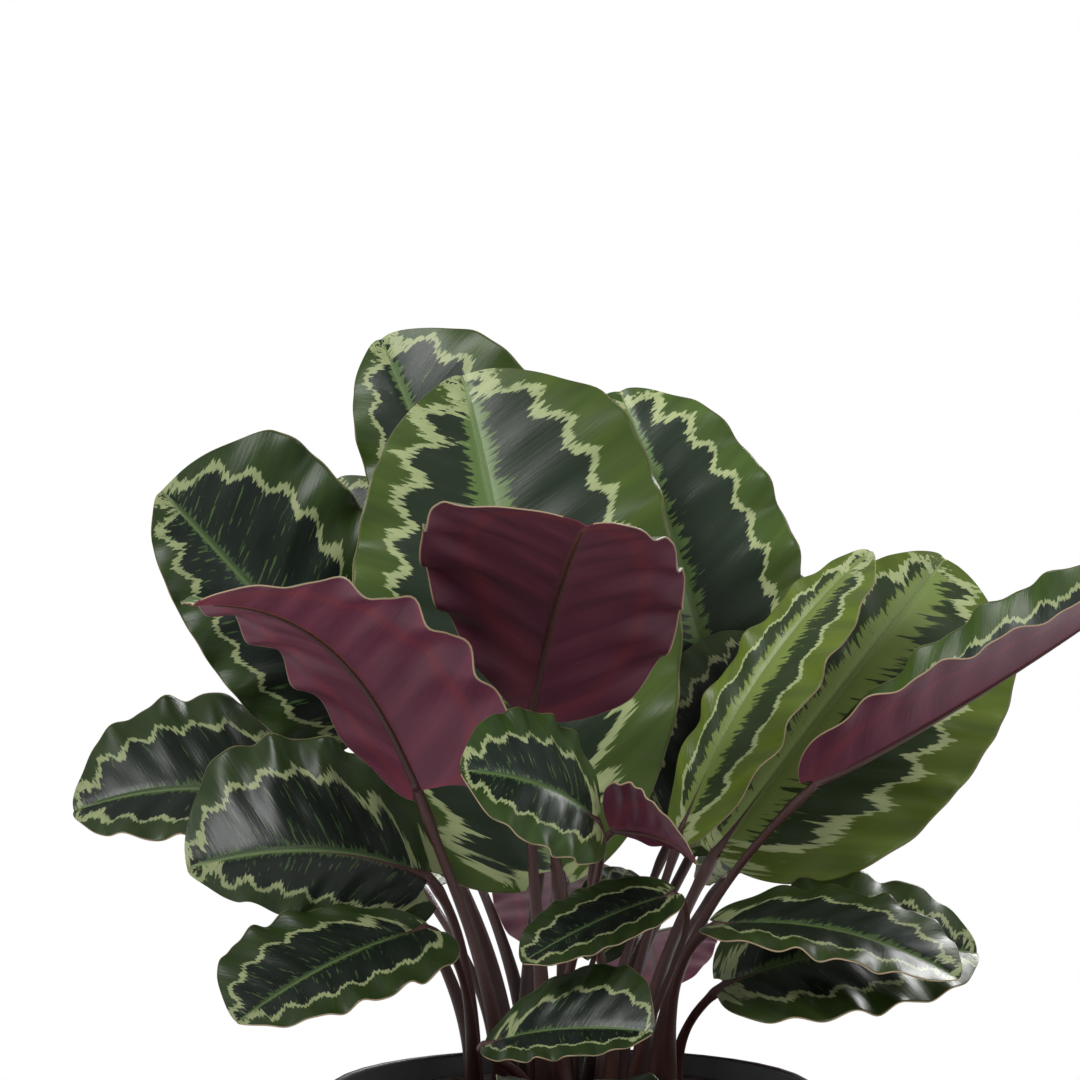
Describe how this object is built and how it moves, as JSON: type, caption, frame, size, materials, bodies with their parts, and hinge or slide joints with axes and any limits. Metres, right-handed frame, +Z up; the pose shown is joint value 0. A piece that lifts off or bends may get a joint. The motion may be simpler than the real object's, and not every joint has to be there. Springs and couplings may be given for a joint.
{
  "type": "potted calathea",
  "caption": "Bushy calathea house plant with round patterned leaves, purple beneath, on slim stems in a plain black nursery pot of soil.",
  "frame": {"origin": "middle of the pot's flat base, where it stands", "axes": "+Z up through the pot's axis, -Y towards the viewer that most leaves face, +X to that viewer's right"},
  "size_m": [0.3708, 0.2673, 0.4169],
  "materials": {
    "pot_plastic": "thin black moulded plastic, satin",
    "peat": "moist dark peat with fibres and a few pale grains",
    "rootstock": "brown fibrous rootstock",
    "stem_skin": "smooth maroon-brown stalk, satin",
    "leaf_skin": "glossy dark green with a cream-green feathered band above, wine purple beneath"
  },
  "bodies": {
    "root": {"pot": "pot_plastic", "soil": "peat", "crown": "rootstock", "leaf_centre_stem": "stem_skin", "leaf_centre_blade": "leaf_skin", "leaf_back_top_stem": "stem_skin", "leaf_back_top_blade": "leaf_skin", "leaf_purple_centre_stem": "stem_skin", "leaf_purple_centre_blade": "leaf_skin", "leaf_purple_left_stem": "stem_skin", "leaf_purple_left_blade": "leaf_skin", "leaf_left_upper_stem": "stem_skin", "leaf_left_upper_blade": "leaf_skin", "leaf_back_left_stem": "stem_skin", "leaf_back_left_blade": "leaf_skin", "leaf_right_upper_stem": "stem_skin", "leaf_right_upper_blade": "leaf_skin", "leaf_right_inner_stem": "stem_skin", "leaf_right_inner_blade": "leaf_skin", "leaf_small_round_stem": "stem_skin", "leaf_small_round_blade": "leaf_skin", "leaf_small_purple_stem": "stem_skin", "leaf_small_purple_blade": "leaf_skin", "leaf_right_narrow_stem": "stem_skin", "leaf_right_narrow_blade": "leaf_skin", "leaf_right_large_stem": "stem_skin", "leaf_right_large_blade": "leaf_skin", "leaf_purple_right_stem": "stem_skin", "leaf_purple_right_blade": "leaf_skin", "leaf_lower_right_front_stem": "stem_skin", "leaf_lower_right_front_blade": "leaf_skin", "leaf_lower_right_back_stem": "stem_skin", "leaf_lower_right_back_blade": "leaf_skin", "leaf_left_far_stem": "stem_skin", "leaf_left_far_blade": "leaf_skin", "leaf_left_large_stem": "stem_skin", "leaf_left_large_blade": "leaf_skin", "leaf_left_lower_stem": "stem_skin", "leaf_left_lower_blade": "leaf_skin", "leaf_front_low_stem": "stem_skin", "leaf_front_low_blade": "leaf_skin", "leaf_front_rim_stem": "stem_skin", "leaf_front_rim_blade": "leaf_skin", "leaf_mid_curled_stem": "stem_skin", "leaf_mid_curled_blade": "leaf_skin", "leaf_back_small_stem": "stem_skin", "leaf_back_small_blade": "leaf_skin", "leaf_back_middle_stem": "stem_skin", "leaf_back_middle_blade": "leaf_skin", "leaf_back_low_stem": "stem_skin", "leaf_back_low_blade": "leaf_skin", "leaf_back_right_stem": "stem_skin", "leaf_back_right_blade": "leaf_skin", "leaf_back_low_left_stem": "stem_skin", "leaf_back_low_left_blade": "leaf_skin", "leaf_back_low_right_stem": "stem_skin", "leaf_back_low_right_blade": "leaf_skin"}
  },
  "joints": []
}
